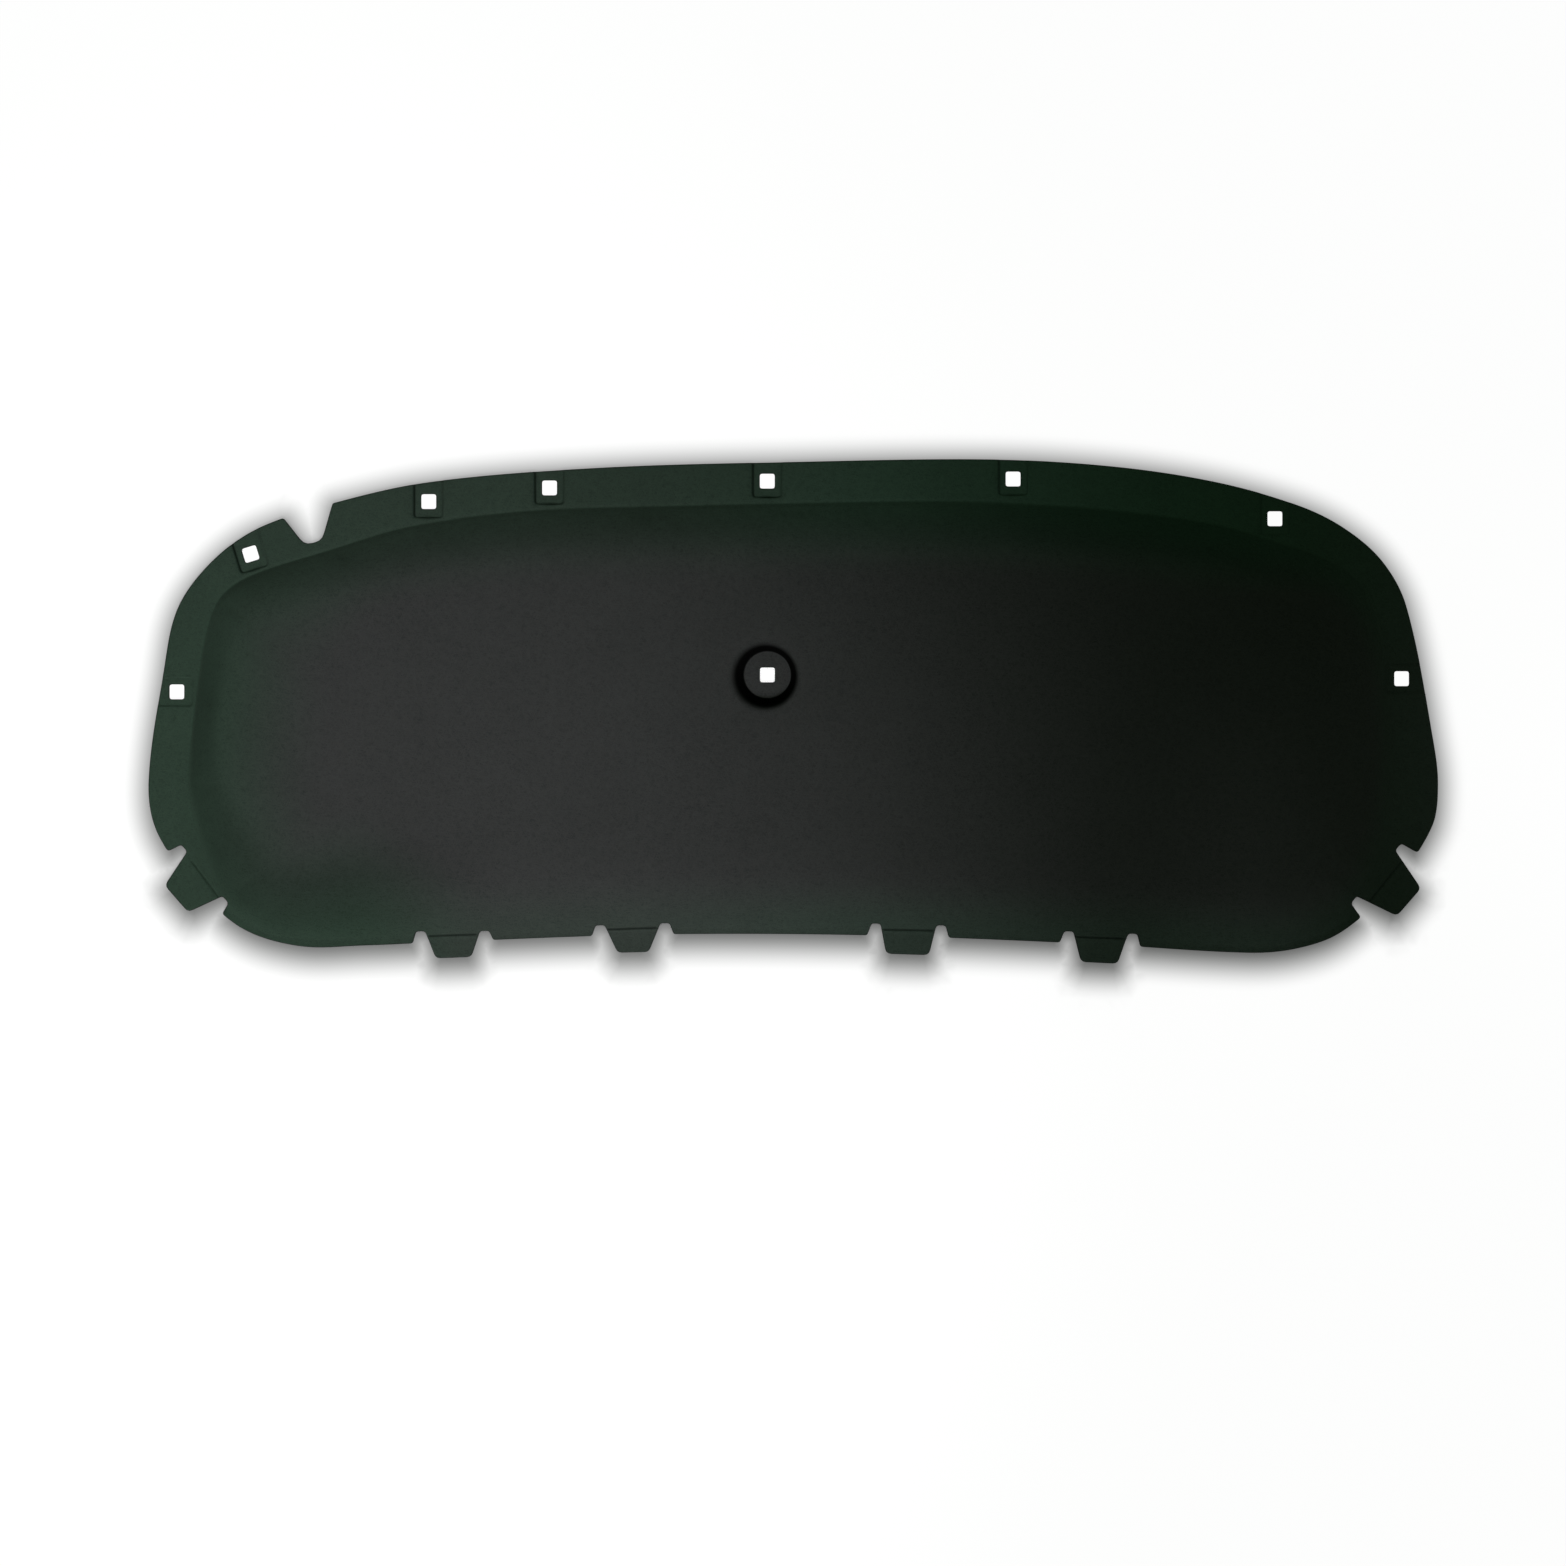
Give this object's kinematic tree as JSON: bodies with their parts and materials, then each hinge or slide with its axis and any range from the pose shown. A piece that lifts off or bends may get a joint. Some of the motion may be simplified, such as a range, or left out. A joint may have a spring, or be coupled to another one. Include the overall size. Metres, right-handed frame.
{
  "type": "hood insulation pad",
  "caption": "Press-moulded bonnet liner of black fibre: a lofted middle inside a thin rim with clip holes, a clip pocket, a notch and fold tabs.",
  "frame": {"origin": "middle of the pad's outline, on its flat back", "axes": "+X across the car, to the right in the picture; +Y towards the long clipped edge; +Z out of the show face"},
  "size_m": [1.2, 0.4693, 0.018],
  "materials": {
    "moulded_fibre": "matt needled nonwoven, charcoal black"
  },
  "bodies": {
    "root": {"insulation_pad": "moulded_fibre"}
  },
  "joints": []
}
